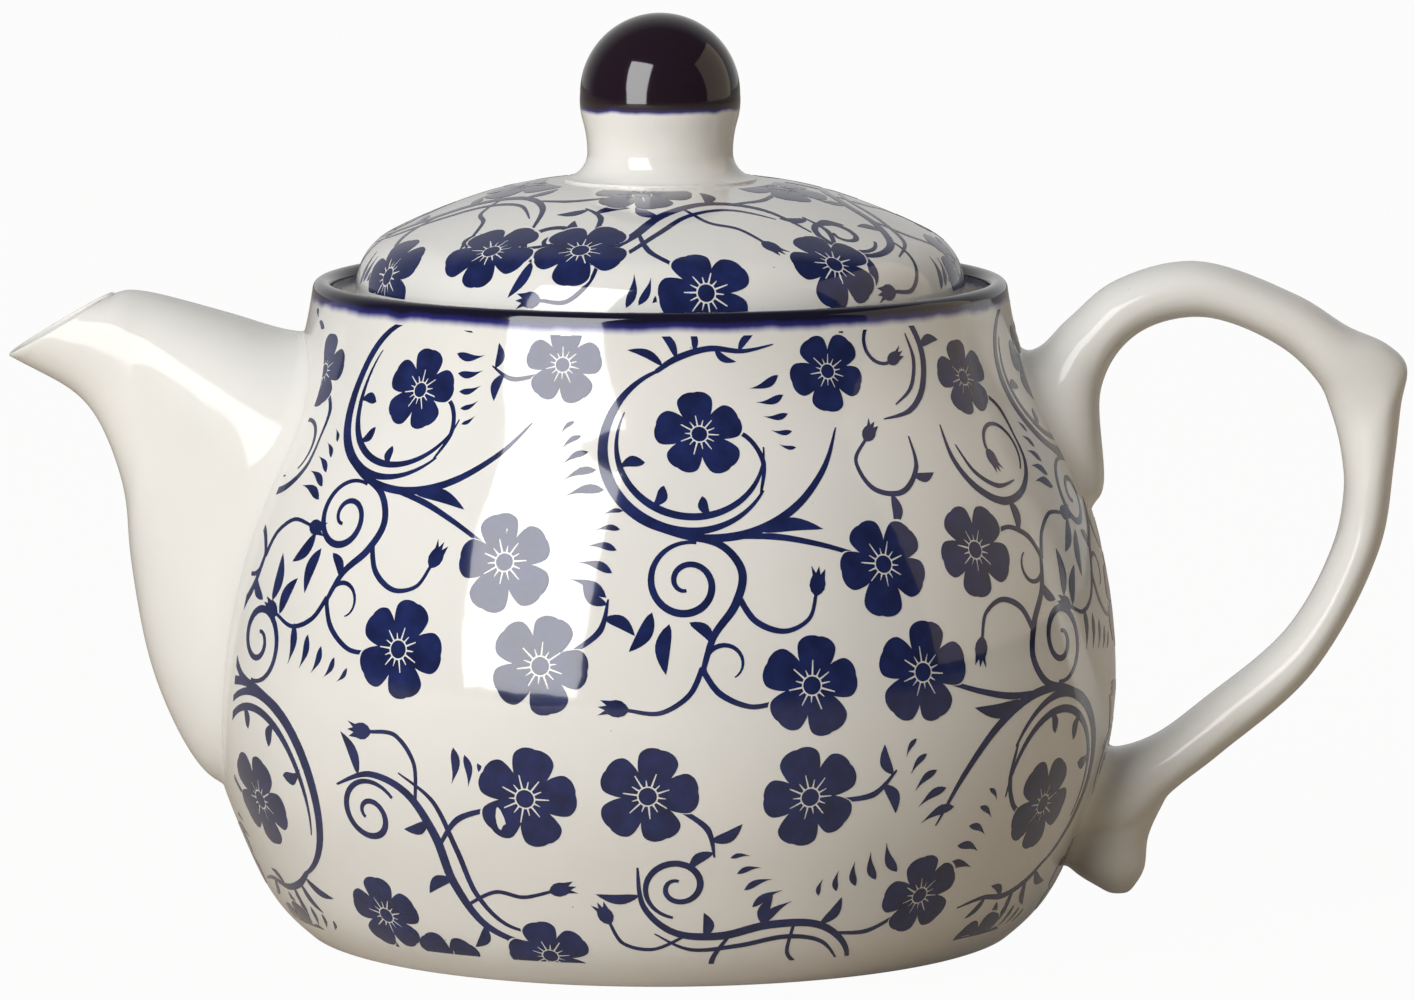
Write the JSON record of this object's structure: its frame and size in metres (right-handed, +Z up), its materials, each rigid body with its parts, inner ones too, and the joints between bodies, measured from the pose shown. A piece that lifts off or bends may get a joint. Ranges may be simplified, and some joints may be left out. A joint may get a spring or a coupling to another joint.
{
  "type": "teapot",
  "caption": "Round-bellied glazed porcelain teapot with a beaked spout, an open ear handle with a thumb spur, and a domed lift-off lid with a ball knob.",
  "frame": {"origin": "centre of the foot ring on the table, on the axis of the pot body", "axes": "+Z up along the pot's axis, +X towards the handle, -X towards the spout"},
  "size_m": [0.232, 0.1516, 0.1524],
  "materials": {
    "glazed_porcelain": "clear gloss glaze over warm white porcelain"
  },
  "bodies": {
    "pot": {"pot_body": "glazed_porcelain", "spout": "glazed_porcelain", "handle": "glazed_porcelain"},
    "cover": {"lid": "glazed_porcelain", "lid_knob": "glazed_porcelain"}
  },
  "joints": [
    {"name": "lid_lift", "type": "slide", "parent": "pot", "child": "cover", "axis": [0, 0, 1], "range_m": [0, 0.06]}
  ]
}
